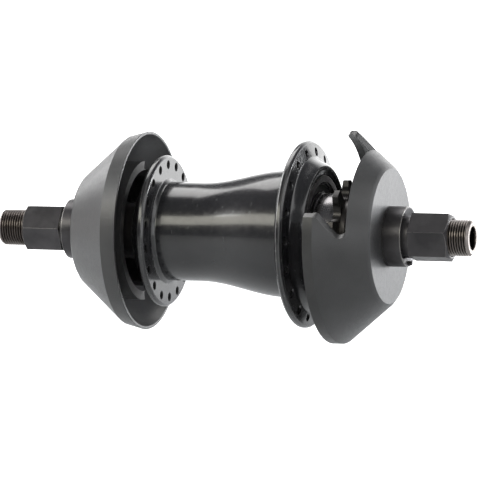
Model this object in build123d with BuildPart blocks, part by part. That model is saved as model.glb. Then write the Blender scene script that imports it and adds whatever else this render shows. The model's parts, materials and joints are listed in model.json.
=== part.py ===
from build123d import *
from math import asin, cos, degrees, pi, radians, sin, tan
import os

# Freecoaster rear hub for a one-speed bicycle.
# X is the axle, with the drive side at +X. Z is up. The origin is the middle of the axle.
# Millimetres throughout. Every piece that turns is a revolved profile: its sketch lies in
# the XZ plane, with the distance along the axle across and the radius up.

# Fits and clearances
thread_gap = 0.05
axle_gap = 0.05
running_gap = 0.08
face_gap = 0.3
worm_gap = 0.15
clutch_gap = 0.3

# Axle
axle_length = 192.4
axle_thread_d = 14.0
axle_body_d = 15.0
axle_bore_d = 9.0
axle_shoulder_d = 19.0
axle_end_chamfer = 1.6
axle_end_chamfer_length = 2.6
thread_overlap = 1.2
thread_pitch_drop = 0.5

# Axle nuts and the collars under them
nut_across_flats = 17.0
nut_hex_length = 15.6
nut_boss_d = 16.4
nut_boss_length = 3.2
nut_chamfer = 1.1
drive_nut_turn = -14.0
non_drive_nut_turn = 3.0
collar_d = 23.2
collar_length = 7.3
collar_rim = 0.9
collar_dish_depth = 1.2
pip_d = 1.8
pip_height = 1.5
pip_wall = 0.5

# Hub shell
hub_flange_gap = 55.2
hub_middle = 0.4
flange_thickness = 3.1
flange_edge = 0.4
drive_flange_d = 72.2
non_drive_flange_d = 58.8
drive_spoke_circle_d = 64.0
non_drive_spoke_circle_d = 51.6
spoke_hole_d = 2.6
spoke_holes = 18
spoke_turn = 1.2
shell_waist_d = 38.3
shell_shoulder_wall = 3.6
waist_end = -13.0
shoulder_start = 23.0
shell_root_chamfer = 1.2
drive_boss_height = 5.9
drive_boss_rim = 1.1
drive_face_rim = 2.0
mouth_chamfer = 1.1
mouth_chamfer_rise = 2.3
non_drive_boss_height = 5.6
non_drive_boss_wall = 4.0
shell_wall = 3.0
clutch_room_side = 0.5
clutch_room_gap = 0.6

# Bearings: 30 x 42 x 7 between shell and driver, 15 x 28 x 7 on the non-drive side,
# and two of 15 x 24 x 5 between driver and axle
shell_bearing_bore = 30.0
shell_bearing_d = 42.0
shell_bearing_width = 7.0
side_bearing_d = 28.0
side_bearing_width = 7.0
driver_bearing_d = 24.0
driver_bearing_width = 5.0
race_wall = 1.5
side_inner_race_wall = 2.2
shield_thickness = 0.7
shield_gap = 0.15
seal_recess = 0.3
lock_ring_step = 1.9
lock_ring_lip = 0.6
lock_ring_width = 1.1
lock_ring_recess = 1.7

# Driver: a nine-tooth sprocket, a dome, a neck and the worm in one piece
chain_pitch = 12.7
chain_roller_d = 7.75
sprocket_teeth = 9
sprocket_width = 3.0
sprocket_tip_factor = 0.6
tooth_tip_width = 3.0
tooth_bevel = 0.45
tooth_bevel_depth = 4.6
sprocket_turn = 88.0
driver_boss_step = 0.4
dome_step = 1.0
dome_straight = 4.4
dome_shoulder = 0.35
dome_taper = 1.2
driver_start = 8.4
driver_end = 49.0
sprocket_middle = 45.6
worm_length = 15.9
worm_tip_step = 0.2
worm_tooth_height = 1.6
worm_lead = 20.0
worm_starts = 4
worm_tooth_width = 2.7
worm_bore_side = 1.0
worm_root_sink = 0.5
worm_tip_share = 0.6

# Clutch, its ring in the shell and the drag spring on the fixed sleeve
clutch_travel = 2.5
clutch_cone_angle = 12.0
clutch_cone_length = 7.0
clutch_ring_wall = 2.1
clutch_ring_relief = 0.6
clutch_body_step = 1.4
clutch_skirt_side = 0.75
clutch_skirt_overlap = 1.0
drag_sleeve_length = 31.6
drag_sleeve_d = 20.4
drag_sleeve_neck_wall = 1.45
drag_sleeve_seat = 12.5
spring_wire = 1.5
spring_bend = 1.2
spring_arc = 300.0
spring_place = 7.0
spring_side = 0.82
spring_tang_overlap = 2.2
tang_side_gap = 0.3
shim_thickness = 0.5
shim_gap = 0.02
shim_count = 2

# Cones on the axle
cone_nose_d = 18.4
cone_nose_length = 0.9
cone_shield_d = 26.6
cone_shield_thickness = 1.2
drive_cone_d = 20.0
non_drive_cone_d = 22.0

# Guards
guard_wall = 2.0
guard_bore_gap = 0.15
drive_guard_face = 63.3
drive_guard_depth = 21.8
drive_guard_band = 3.8
drive_guard_d = 83.6
drive_guard_face_d = 53.2
non_drive_guard_face = 60.6
non_drive_guard_depth = 25.1
non_drive_guard_band = 6.0
non_drive_guard_rim_d = 77.2
non_drive_guard_crease_d = 74.0
non_drive_guard_face_d = 42.0
guard_corner = 1.2
window_direction = 60.6
window_chord = 28.2
window_notch_chord = 17.8
window_notch_width = 14.3
window_flat = 4.4
window_notch_land = 2.6
window_corner = 1.2
clip_ring_d = 54.0
clip_ring_wall = 2.4
clip_ring_end = -39.5
clip_gap_angle = 32.0

os.makedirs("parts", exist_ok=True)


# Places along the axle that follow from the sizes above
drive_flange_in = hub_middle + hub_flange_gap / 2
drive_flange_out = drive_flange_in + flange_thickness
drive_boss_face = drive_flange_out + drive_boss_height
non_drive_flange_in = hub_middle - hub_flange_gap / 2
non_drive_flange_out = non_drive_flange_in - flange_thickness
non_drive_boss_face = non_drive_flange_out - non_drive_boss_height
shell_bearing_out = drive_boss_face - lock_ring_recess
shell_bearing_in = shell_bearing_out - shell_bearing_width
side_bearing_out = non_drive_boss_face + face_gap
side_bearing_in = side_bearing_out + side_bearing_width
worm_end = driver_start + worm_length
worm_overrun = clutch_travel + face_gap + worm_tooth_width
inner_bearing_start = worm_end + face_gap
inner_bearing_end = inner_bearing_start + driver_bearing_width
outer_bearing_start = driver_end - driver_bearing_width
sprocket_start = sprocket_middle - sprocket_width / 2
drive_guard_inside = drive_guard_face - guard_wall
drive_guard_rim = drive_guard_face - drive_guard_depth
non_drive_guard_inside = guard_wall - non_drive_guard_face
non_drive_guard_rim = non_drive_guard_depth - non_drive_guard_face
drive_collar_face = drive_guard_face + collar_length
non_drive_collar_face = -non_drive_guard_face - collar_length
nut_boss_out = nut_boss_length - collar_dish_depth
drive_nut_start = drive_collar_face - collar_dish_depth
non_drive_nut_start = non_drive_collar_face + collar_dish_depth
drive_nut_end = drive_collar_face + nut_boss_out + nut_hex_length
non_drive_nut_end = non_drive_collar_face - nut_boss_out - nut_hex_length
shim_pitch = shim_thickness + shim_gap
shim_start = inner_bearing_start - shim_count * shim_pitch
drag_sleeve_start = shim_start - drag_sleeve_length
spring_x = drag_sleeve_start + spring_place
clutch_ring_start = worm_end - clutch_room_gap - clutch_cone_length + clutch_gap
clutch_cone_start = clutch_ring_start - clutch_travel - clutch_gap
clutch_end = clutch_cone_start + clutch_cone_length
clutch_thread_start = driver_start - clutch_travel - face_gap
clutch_start = spring_x - spring_wire / 2 - clutch_travel - clutch_skirt_overlap
clutch_room_start = clutch_thread_start - clutch_room_gap

# Diameters that follow from what each piece seats on or passes through
thread_pitch_d = axle_thread_d - 2 * thread_pitch_drop
collar_dish_d = collar_d - 2 * collar_rim
lock_ring_d = shell_bearing_d + 2 * lock_ring_step
lock_ring_bore = shell_bearing_d - 2 * lock_ring_lip
drive_mouth_d = lock_ring_d + 2 * mouth_chamfer_rise
drive_boss_d = drive_mouth_d + 2 * drive_boss_rim
non_drive_boss_d = side_bearing_d + 2 * non_drive_boss_wall
shell_shoulder_d = shell_bearing_d + 2 * shell_shoulder_wall
shell_race_wall = (shell_bearing_d - shell_bearing_bore) / 8
clutch_cone_d = shell_bearing_d - 2 * clutch_ring_wall
clutch_room_d = clutch_cone_d + 2 * clutch_room_side
clutch_ring_relief_d = clutch_cone_d - 2 * clutch_ring_relief
clutch_body_d = clutch_cone_d - 2 * clutch_body_step
clutch_skirt_d = shell_waist_d - 2 * (shell_wall + clutch_skirt_side)
clutch_skirt_bore = drag_sleeve_d + 2 * (running_gap + spring_wire + spring_side)
spring_tang_reach = clutch_skirt_bore / 2 + spring_tang_overlap
worm_tip_d = shell_bearing_bore - 2 * worm_tip_step
worm_root_d = worm_tip_d - 2 * worm_tooth_height
drag_sleeve_neck_d = axle_body_d + 2 * (axle_gap + drag_sleeve_neck_wall)
worm_bore = drag_sleeve_neck_d + 2 * worm_bore_side
dome_d = shell_bearing_bore + 2 * dome_step
dome_end_d = dome_d - 2 * dome_taper
driver_boss_d = dome_end_d - 2 * driver_boss_step


# Axle
# A hollow axle: threaded ends, a ground body for the bearings and one shoulder that
# carries the drag sleeve on one side and the non-drive bearing on the other. The thread
# keeps its full size where it is free; inside each nut it stands at its pitch diameter.
with BuildPart() as axle:
    with BuildSketch(Plane.XZ):
        with BuildLine():
            Polyline(
                (-axle_length / 2, axle_bore_d / 2),
                (-axle_length / 2, axle_thread_d / 2 - axle_end_chamfer),
                (axle_end_chamfer_length - axle_length / 2, axle_thread_d / 2),
                (non_drive_nut_end - face_gap, axle_thread_d / 2),
                (non_drive_nut_end - face_gap, thread_pitch_d / 2),
                (non_drive_nut_start + face_gap, thread_pitch_d / 2),
                (non_drive_nut_start + face_gap, axle_thread_d / 2),
                (non_drive_guard_inside + thread_overlap, axle_thread_d / 2),
                (non_drive_guard_inside + thread_overlap, axle_body_d / 2),
                (side_bearing_in, axle_body_d / 2),
                (side_bearing_in, axle_shoulder_d / 2),
                (drag_sleeve_start, axle_shoulder_d / 2),
                (drag_sleeve_start, axle_body_d / 2),
                (drive_guard_inside - thread_overlap, axle_body_d / 2),
                (drive_guard_inside - thread_overlap, axle_thread_d / 2),
                (drive_nut_start - face_gap, axle_thread_d / 2),
                (drive_nut_start - face_gap, thread_pitch_d / 2),
                (drive_nut_end + face_gap, thread_pitch_d / 2),
                (drive_nut_end + face_gap, axle_thread_d / 2),
                (axle_length / 2 - axle_end_chamfer_length, axle_thread_d / 2),
                (axle_length / 2, axle_thread_d / 2 - axle_end_chamfer),
                (axle_length / 2, axle_bore_d / 2),
                close=True,
            )
        make_face()
    revolve(axis=Axis.X)
axle.part.label = "axle"
export_step(axle.part, "parts/axle.step")


def axle_nut(inner_face, side, turn):
    """Hexagon nut with a round boss that seats in the dish of its collar."""
    hex_start = inner_face + side * nut_boss_out
    with BuildPart() as nut:
        with BuildSketch(Plane(origin=(hex_start, 0, 0), x_dir=(0, 1, 0), z_dir=(side, 0, 0))):
            RegularPolygon(nut_across_flats / 2, 6, major_radius=False, rotation=turn)
        extrude(amount=nut_hex_length)
        # The outer corners are turned down to a cone
        corner_d = nut_across_flats / cos(pi / 6)
        hex_end = hex_start + side * nut_hex_length
        with BuildSketch(Plane.XZ):
            with BuildLine():
                Polyline(
                    (hex_end, nut_across_flats / 2 - nut_chamfer / 2),
                    (hex_end - side * nut_chamfer, corner_d / 2),
                    (hex_end - side * nut_chamfer, corner_d),
                    (hex_end, corner_d),
                    close=True,
                )
            make_face()
        revolve(axis=Axis.X, mode=Mode.SUBTRACT)
        with BuildSketch(Plane(origin=(hex_start, 0, 0), x_dir=(0, 1, 0), z_dir=(-side, 0, 0))):
            Circle(nut_boss_d / 2)
        extrude(amount=nut_boss_length)
        with BuildSketch(Plane.YZ):
            Circle(thread_pitch_d / 2 + thread_gap)
        extrude(amount=axle_length, both=True, mode=Mode.SUBTRACT)
    return nut.part


def collar(guard_face, side, with_pip):
    """Round clamping collar between guard and nut, dished on its outer face."""
    outer_face = guard_face + side * collar_length
    with BuildPart() as ring:
        with BuildSketch(Plane.XZ):
            with BuildLine():
                Polyline(
                    (guard_face, axle_thread_d / 2 + guard_bore_gap),
                    (guard_face, collar_d / 2),
                    (outer_face, collar_d / 2),
                    (outer_face, collar_dish_d / 2),
                    (outer_face - side * collar_dish_depth, nut_boss_d / 2),
                    (outer_face - side * collar_dish_depth, axle_thread_d / 2 + guard_bore_gap),
                    close=True,
                )
            make_face()
        revolve(axis=Axis.X)
        if with_pip:
            pip_place = Plane(
                origin=(outer_face - side * collar_dish_depth, 0, 0),
                x_dir=(0, 1, 0),
                z_dir=(side, 0, 0),
            )
            with BuildSketch(pip_place):
                with Locations((0, pip_wall + pip_d / 2 - collar_d / 2)):
                    Circle(pip_d / 2)
            extrude(amount=collar_dish_depth + pip_height)
    return ring.part


drive_axle_nut = axle_nut(drive_collar_face, 1, drive_nut_turn)
drive_axle_nut.label = "drive_axle_nut"
export_step(drive_axle_nut, "parts/drive_axle_nut.step")

non_drive_axle_nut = axle_nut(non_drive_collar_face, -1, non_drive_nut_turn)
non_drive_axle_nut.label = "non_drive_axle_nut"
export_step(non_drive_axle_nut, "parts/non_drive_axle_nut.step")

drive_collar = collar(drive_guard_face, 1, True)
drive_collar.label = "drive_collar"
export_step(drive_collar, "parts/drive_collar.step")

non_drive_collar = collar(-non_drive_guard_face, -1, False)
non_drive_collar.label = "non_drive_collar"
export_step(non_drive_collar, "parts/non_drive_collar.step")


# Drive guard
# A bell with a short straight band, a steep cone and a flat outer face. The chain enters
# through a window cut straight across one side: a long chord with a deeper notch beside
# the rim that stays whole.
drive_cone_slope = (drive_guard_d - drive_guard_face_d) / 2 / (drive_guard_depth - drive_guard_band)
drive_wall_across = guard_wall * (1 + drive_cone_slope ** 2) ** 0.5
window_rim = drive_guard_rim + window_notch_width
with BuildPart() as drive_guard:
    band_end = drive_guard_rim + drive_guard_band
    inner_band_end = band_end + (guard_wall - drive_wall_across) / drive_cone_slope
    inner_cone_drop = drive_cone_slope * (drive_guard_inside - band_end)
    inner_corner_r = drive_guard_d / 2 - drive_wall_across - inner_cone_drop
    with BuildSketch(Plane.XZ):
        with BuildLine():
            Polyline(
                (drive_guard_rim, drive_guard_d / 2 - guard_wall),
                (drive_guard_rim, drive_guard_d / 2),
                (band_end, drive_guard_d / 2),
                (drive_guard_face - guard_corner, drive_guard_face_d / 2 + guard_corner * drive_cone_slope),
                (drive_guard_face, drive_guard_face_d / 2 - guard_corner / 2),
                (drive_guard_face, axle_thread_d / 2 + guard_bore_gap),
                (drive_guard_inside, axle_thread_d / 2 + guard_bore_gap),
                (drive_guard_inside, inner_corner_r),
                (inner_band_end, drive_guard_d / 2 - guard_wall),
                close=True,
            )
        make_face()
    revolve(axis=Axis.X)
    window_up = Vector(0, -cos(radians(window_direction)), sin(radians(window_direction)))
    window_plane = Plane(origin=(0, 0, 0), x_dir=(1, 0, 0), z_dir=Vector(1, 0, 0).cross(window_up))
    with BuildSketch(window_plane):
        with BuildLine():
            FilletPolyline(
                (drive_guard_rim - guard_wall, window_chord),
                (drive_guard_rim + window_flat, window_chord),
                (window_rim - window_notch_land, window_notch_chord),
                (window_rim, window_notch_chord),
                (window_rim, drive_guard_d),
                (drive_guard_rim - guard_wall, drive_guard_d),
                radius=window_corner,
                close=True,
            )
        make_face()
    extrude(amount=drive_guard_d, both=True, mode=Mode.SUBTRACT)
drive_guard.part.label = "drive_guard"
export_step(drive_guard.part, "parts/drive_guard.step")


# Non-drive guard
# A cone with a crease where it turns into the wider band at its open end. Inside, a ring
# with two gaps stiffens it: one half is whole, and the other stops short at both ends.
with BuildPart() as non_drive_guard:
    guard_face = -non_drive_guard_face
    crease = non_drive_guard_rim - non_drive_guard_band
    cone_slope = (non_drive_guard_crease_d - non_drive_guard_face_d) / 2 / (crease - guard_face)
    band_slope = (non_drive_guard_rim_d - non_drive_guard_crease_d) / 2 / non_drive_guard_band
    cone_wall = guard_wall * (1 + cone_slope ** 2) ** 0.5
    inner_crease_x = crease + (cone_wall - guard_wall) / (cone_slope - band_slope)
    inner_crease_r = non_drive_guard_crease_d / 2 - guard_wall + band_slope * (inner_crease_x - crease)
    inner_face_r = non_drive_guard_face_d / 2 - cone_wall + cone_slope * guard_wall
    clip_ring_start = non_drive_guard_inside + (clip_ring_d / 2 - inner_face_r) / cone_slope - guard_wall / 2
    with BuildSketch(Plane.XZ):
        with BuildLine():
            Polyline(
                (guard_face, axle_thread_d / 2 + guard_bore_gap),
                (guard_face, non_drive_guard_face_d / 2 - guard_corner / 2),
                (guard_face + guard_corner, non_drive_guard_face_d / 2 + guard_corner * cone_slope),
                (crease, non_drive_guard_crease_d / 2),
                (non_drive_guard_rim, non_drive_guard_rim_d / 2),
                (non_drive_guard_rim, non_drive_guard_rim_d / 2 - guard_wall),
                (inner_crease_x, inner_crease_r),
                (non_drive_guard_inside, inner_face_r),
                (non_drive_guard_inside, axle_thread_d / 2 + guard_bore_gap),
                close=True,
            )
        make_face()
    revolve(axis=Axis.X)
    whole_half = (0, 180)
    short_half = (180 + clip_gap_angle, 180 - 2 * clip_gap_angle)
    for arc_start, arc_angle in (whole_half, short_half):
        with BuildSketch(Plane.XZ.rotated((arc_start, 0, 0))):
            with BuildLine():
                Polyline(
                    (clip_ring_end, clip_ring_d / 2 - clip_ring_wall),
                    (clip_ring_end, clip_ring_d / 2),
                    (clip_ring_start, clip_ring_d / 2),
                    (clip_ring_start, clip_ring_d / 2 - clip_ring_wall),
                    close=True,
                )
            make_face()
        revolve(axis=Axis.X, revolution_arc=arc_angle)
non_drive_guard.part.label = "non_drive_guard"
export_step(non_drive_guard.part, "parts/non_drive_guard.step")


def ring(start, length, outer_d, inner_d):
    """Plain turned ring along the axle."""
    with BuildPart() as turned_ring:
        with BuildSketch(Plane.XZ):
            with Locations((start + length / 2, (outer_d + inner_d) / 4)):
                Rectangle(length, (outer_d - inner_d) / 2)
        revolve(axis=Axis.X)
    return turned_ring.part


def shielded_outer_race(start, width, outer_d, inner_race_d, shield_side):
    """Outer bearing race with the shield that is crimped into its outer edge."""
    middle = start + width / 2
    shield_face = middle + shield_side * width / 2
    shield_back = shield_face - shield_side * shield_thickness
    far_face = middle - shield_side * width / 2
    with BuildPart() as race:
        with BuildSketch(Plane.XZ):
            with BuildLine():
                Polyline(
                    (far_face, outer_d / 2 - race_wall),
                    (far_face, outer_d / 2),
                    (shield_face, outer_d / 2),
                    (shield_face, inner_race_d / 2 + shield_gap),
                    (shield_back, inner_race_d / 2 + shield_gap),
                    (shield_back, outer_d / 2 - race_wall),
                    close=True,
                )
            make_face()
        revolve(axis=Axis.X)
    return race.part


# Hub shell
# One turned piece: a boss and flange at each end, a straight waist that swells in a
# double curve towards the drive side, and a stepped bore for bearings and clutch.
shoulder_mid = ((shoulder_start + waist_end) / 2, (shell_shoulder_d + shell_waist_d) / 4)
with BuildPart() as hub_shell:
    with BuildSketch(Plane.XZ):
        with BuildLine():
            Polyline(
                (shell_bearing_in, shell_bearing_d / 2),
                (shell_bearing_out, shell_bearing_d / 2),
                (shell_bearing_out, lock_ring_d / 2),
                (drive_boss_face - mouth_chamfer, lock_ring_d / 2),
                (drive_boss_face, drive_mouth_d / 2),
                (drive_boss_face, drive_boss_d / 2),
                (drive_flange_out, drive_flange_d / 2 - drive_face_rim),
                (drive_flange_out, drive_flange_d / 2 - flange_edge),
                (drive_flange_out - flange_edge, drive_flange_d / 2),
                (drive_flange_in, drive_flange_d / 2),
                (drive_flange_in, shell_shoulder_d / 2 + shell_root_chamfer),
                (drive_flange_in - shell_root_chamfer, shell_shoulder_d / 2),
                (shoulder_start, shell_shoulder_d / 2),
            )
            upper_curve = TangentArc(
                (shoulder_start, shell_shoulder_d / 2),
                shoulder_mid,
                tangent=(-1, 0),
            )
            TangentArc(shoulder_mid, (waist_end, shell_waist_d / 2), tangent=upper_curve % 1)
            Polyline(
                (waist_end, shell_waist_d / 2),
                (non_drive_flange_in + shell_root_chamfer, shell_waist_d / 2),
                (non_drive_flange_in, shell_waist_d / 2 + shell_root_chamfer),
                (non_drive_flange_in, non_drive_flange_d / 2 - flange_edge),
                (non_drive_flange_in - flange_edge, non_drive_flange_d / 2),
                (non_drive_flange_out, non_drive_flange_d / 2),
                (non_drive_flange_out, shell_waist_d / 2),
                (non_drive_boss_face, non_drive_boss_d / 2),
                (non_drive_boss_face, side_bearing_d / 2),
                (side_bearing_in, side_bearing_d / 2),
                (side_bearing_in, side_bearing_d / 2 - race_wall),
                (side_bearing_in + shell_wall, shell_waist_d / 2 - shell_wall),
                (clutch_room_start, shell_waist_d / 2 - shell_wall),
                (clutch_room_start, clutch_room_d / 2),
                (clutch_ring_start, clutch_room_d / 2),
                (clutch_ring_start, shell_bearing_d / 2),
                (shell_bearing_in, shell_bearing_d / 2),
            )
        make_face()
    revolve(axis=Axis.X)
    # Spoke holes: the two flanges are half a pitch apart
    with BuildSketch(Plane.YZ.offset(drive_flange_in)):
        with PolarLocations(drive_spoke_circle_d / 2, spoke_holes, start_angle=spoke_turn):
            Circle(spoke_hole_d / 2)
    extrude(amount=drive_boss_height, mode=Mode.SUBTRACT)
    with BuildSketch(Plane.YZ.offset(non_drive_flange_out)):
        half_pitch_turn = spoke_turn + 180 / spoke_holes
        with PolarLocations(non_drive_spoke_circle_d / 2, spoke_holes, start_angle=half_pitch_turn):
            Circle(spoke_hole_d / 2)
    extrude(amount=flange_thickness, mode=Mode.SUBTRACT)
hub_shell.part.label = "hub_shell"
export_step(hub_shell.part, "parts/hub_shell.step")


# Clutch ring: the hardened cone that is pressed into the shell
clutch_taper = tan(radians(clutch_cone_angle))
ring_small_r = clutch_cone_d / 2 - clutch_cone_length * clutch_taper
with BuildPart() as clutch_ring:
    with BuildSketch(Plane.XZ):
        with BuildLine():
            Polyline(
                (clutch_ring_start, clutch_cone_d / 2),
                (clutch_ring_start, shell_bearing_d / 2),
                (shell_bearing_in, shell_bearing_d / 2),
                (shell_bearing_in, clutch_ring_relief_d / 2),
                (clutch_ring_start + clutch_cone_length, clutch_ring_relief_d / 2),
                (clutch_ring_start + clutch_cone_length, ring_small_r),
                close=True,
            )
        make_face()
    revolve(axis=Axis.X)
clutch_ring.part.label = "clutch_ring"
export_step(clutch_ring.part, "parts/clutch_ring.step")


# Bearings, lock ring and seal of the shell
side_inner_race_d = axle_body_d + 2 * side_inner_race_wall
non_drive_bearing_outer_race = shielded_outer_race(
    side_bearing_out, side_bearing_width, side_bearing_d, side_inner_race_d, -1
)
non_drive_bearing_outer_race.label = "non_drive_bearing_outer_race"
export_step(non_drive_bearing_outer_race, "parts/non_drive_bearing_outer_race.step")

non_drive_bearing_inner_race = ring(side_bearing_out, side_bearing_width, side_inner_race_d, axle_body_d)
non_drive_bearing_inner_race.label = "non_drive_bearing_inner_race"
export_step(non_drive_bearing_inner_race, "parts/non_drive_bearing_inner_race.step")

shell_inner_race_d = shell_bearing_bore + 2 * shell_race_wall
shell_outer_race_bore = shell_bearing_d - 2 * shell_race_wall
shell_bearing_outer_race = ring(
    shell_bearing_in, shell_bearing_width, shell_bearing_d, shell_outer_race_bore
)
shell_bearing_outer_race.label = "shell_bearing_outer_race"
export_step(shell_bearing_outer_race, "parts/shell_bearing_outer_race.step")

shell_bearing_inner_race = ring(
    shell_bearing_in, shell_bearing_width, shell_inner_race_d, shell_bearing_bore
)
shell_bearing_inner_race.label = "shell_bearing_inner_race"
export_step(shell_bearing_inner_race, "parts/shell_bearing_inner_race.step")

seal_start = shell_bearing_out - shield_thickness - seal_recess
shell_bearing_seal = ring(
    seal_start, shield_thickness, shell_outer_race_bore, shell_inner_race_d + 2 * shield_gap
)
shell_bearing_seal.label = "shell_bearing_seal"
export_step(shell_bearing_seal, "parts/shell_bearing_seal.step")

lock_ring = ring(shell_bearing_out, lock_ring_width, lock_ring_d, lock_ring_bore)
lock_ring.label = "lock_ring"
export_step(lock_ring, "parts/lock_ring.step")


# Driver
# Worm, neck, dome and sprocket turned from one bar. The worm is four right-hand starts
# wound round its core; the sprocket has nine teeth for a half-inch chain.
def wound_teeth(start, length, root_d, tip_d, side_gap):
    """Wound teeth that run past both ends, for the worm and for the clutch's grooves."""
    helix_start = start - worm_overrun
    mean_r = (worm_root_d + worm_tip_d) / 4
    with BuildPart() as thread:
        with BuildLine() as path:
            Helix(
                pitch=worm_lead,
                height=length + 2 * worm_overrun,
                radius=mean_r,
                center=(helix_start, 0, 0),
                direction=(1, 0, 0),
            )
        section = Plane(
            origin=path.line @ 0,
            x_dir=(path.line @ 0) - Vector(helix_start, 0, 0),
            z_dir=path.line % 0,
        )
        root_x = root_d / 2 - mean_r - worm_root_sink
        tip_x = tip_d / 2 - mean_r
        root_half = worm_tooth_width / 2 + side_gap
        tip_half = worm_tooth_width * worm_tip_share / 2 + side_gap
        with BuildSketch(section):
            with BuildLine():
                Polyline(
                    (root_x, -root_half),
                    (tip_x, -tip_half),
                    (tip_x, tip_half),
                    (root_x, root_half),
                    close=True,
                )
            make_face()
        sweep(path=path.line, is_frenet=True)
    return [
        thread.part.rotate(Axis.X, index * 360 / worm_starts) for index in range(worm_starts)
    ]


dome_start = shell_bearing_out + dome_shoulder
sprocket_pitch_r = chain_pitch / 2 / sin(pi / sprocket_teeth)
sprocket_tip_r = chain_pitch / 2 * (sprocket_tip_factor + 1 / tan(pi / sprocket_teeth))
tooth_pitch_angle = 360 / sprocket_teeth
gap_tip_half = sprocket_tip_r * sin(pi / sprocket_teeth) - tooth_tip_width / 2
with BuildPart() as driver:
    with BuildSketch(Plane.XZ):
        with BuildLine():
            Polyline(
                (driver_start, 0),
                (driver_start, worm_root_d / 2),
                (worm_end, worm_root_d / 2),
                (worm_end, shell_bearing_bore / 2),
                (shell_bearing_out, shell_bearing_bore / 2),
                (dome_start, dome_d / 2),
                (dome_start + dome_straight, dome_d / 2),
                (sprocket_start, dome_end_d / 2),
                (sprocket_start + sprocket_width, dome_end_d / 2),
                (sprocket_start + sprocket_width, driver_boss_d / 2),
                (driver_end, driver_boss_d / 2),
                (driver_end, 0),
                (driver_start, 0),
            )
        make_face()
    revolve(axis=Axis.X)
    for wound_tooth in wound_teeth(driver_start, worm_length, worm_root_d, worm_tip_d, 0):
        add(wound_tooth)
    # The teeth run past the worm: what stands inside the neck stays, the rest is cut square
    with BuildSketch(Plane.YZ.offset(driver_start)):
        Circle(shell_bearing_bore / 2)
    extrude(amount=-2 * worm_overrun, mode=Mode.SUBTRACT)
    with BuildSketch(Plane.YZ.offset(sprocket_start)):
        Circle(sprocket_tip_r)
        first_gap_angle = sprocket_turn + tooth_pitch_angle / 2
        with PolarLocations(sprocket_pitch_r, sprocket_teeth, start_angle=first_gap_angle):
            Circle(chain_roller_d / 2, mode=Mode.SUBTRACT)
            Polygon(
                (0, -chain_roller_d / 2),
                (sprocket_tip_r - sprocket_pitch_r, -gap_tip_half),
                (sprocket_tip_r, -gap_tip_half),
                (sprocket_tip_r, gap_tip_half),
                (sprocket_tip_r - sprocket_pitch_r, gap_tip_half),
                (0, chain_roller_d / 2),
                align=None,
                mode=Mode.SUBTRACT,
            )
    extrude(amount=sprocket_width)
    # Both sides of the teeth are thinned towards their tips
    for face_x, inward in ((sprocket_start, 1), (sprocket_start + sprocket_width, -1)):
        with BuildSketch(Plane.XZ):
            with BuildLine():
                Polyline(
                    (face_x, sprocket_tip_r - tooth_bevel_depth),
                    (face_x + inward * tooth_bevel, sprocket_tip_r),
                    (face_x + inward * tooth_bevel, sprocket_tip_r + tooth_bevel),
                    (face_x - inward * tooth_bevel, sprocket_tip_r + tooth_bevel),
                    (face_x - inward * tooth_bevel, sprocket_tip_r - tooth_bevel_depth),
                    close=True,
                )
            make_face()
        revolve(axis=Axis.X, mode=Mode.SUBTRACT)
    # Bore: wide for the bearings, narrow over the drag sleeve
    with BuildSketch(Plane.YZ.offset(driver_end)):
        Circle(driver_bearing_d / 2)
    extrude(amount=inner_bearing_start - driver_end, mode=Mode.SUBTRACT)
    with BuildSketch(Plane.YZ.offset(driver_start)):
        Circle(worm_bore / 2)
    extrude(amount=inner_bearing_start - driver_start, mode=Mode.SUBTRACT)
driver.part.label = "driver"
export_step(driver.part, "parts/driver.step")


# Driver bearings: two alike, the inner pair of races on the axle, the outer pair in the driver
driver_inner_race_d = axle_body_d + 2 * race_wall
with BuildPart() as driver_bearing_inner_races:
    for race_start in (inner_bearing_start, outer_bearing_start):
        with BuildSketch(Plane.XZ):
            with Locations((race_start + driver_bearing_width / 2, (driver_inner_race_d + axle_body_d) / 4)):
                Rectangle(driver_bearing_width, race_wall)
        revolve(axis=Axis.X)
driver_bearing_inner_races.part.label = "driver_bearing_inner_races"
export_step(driver_bearing_inner_races.part, "parts/driver_bearing_inner_races.step")

with BuildPart() as driver_bearing_outer_races:
    for race_start in (inner_bearing_start, outer_bearing_start):
        add(shielded_outer_race(race_start, driver_bearing_width, driver_bearing_d, driver_inner_race_d, 1))
driver_bearing_outer_races.part.label = "driver_bearing_outer_races"
export_step(driver_bearing_outer_races.part, "parts/driver_bearing_outer_races.step")

bearing_spacer = ring(
    inner_bearing_end,
    outer_bearing_start - inner_bearing_end,
    driver_inner_race_d,
    axle_body_d + 2 * axle_gap,
)
bearing_spacer.label = "bearing_spacer"
export_step(bearing_spacer, "parts/bearing_spacer.step")


# Drag sleeve and slack shims, fixed on the axle inside the worm
with BuildPart() as drag_sleeve:
    with BuildSketch(Plane.XZ):
        with BuildLine():
            Polyline(
                (drag_sleeve_start, axle_body_d / 2 + axle_gap),
                (drag_sleeve_start, drag_sleeve_d / 2),
                (drag_sleeve_start + drag_sleeve_seat, drag_sleeve_d / 2),
                (drag_sleeve_start + drag_sleeve_seat, drag_sleeve_neck_d / 2),
                (shim_start, drag_sleeve_neck_d / 2),
                (shim_start, axle_body_d / 2 + axle_gap),
                close=True,
            )
        make_face()
    revolve(axis=Axis.X)
drag_sleeve.part.label = "drag_sleeve"
export_step(drag_sleeve.part, "parts/drag_sleeve.step")

with BuildPart() as slack_shims:
    for index in range(shim_count):
        with BuildSketch(Plane.YZ.offset(shim_start + shim_gap + index * shim_pitch)):
            Circle(drag_sleeve_neck_d / 2)
            Circle(axle_body_d / 2 + axle_gap, mode=Mode.SUBTRACT)
        extrude(amount=shim_thickness)
slack_shims.part.label = "slack_shims"
export_step(slack_shims.part, "parts/slack_shims.step")


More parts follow.
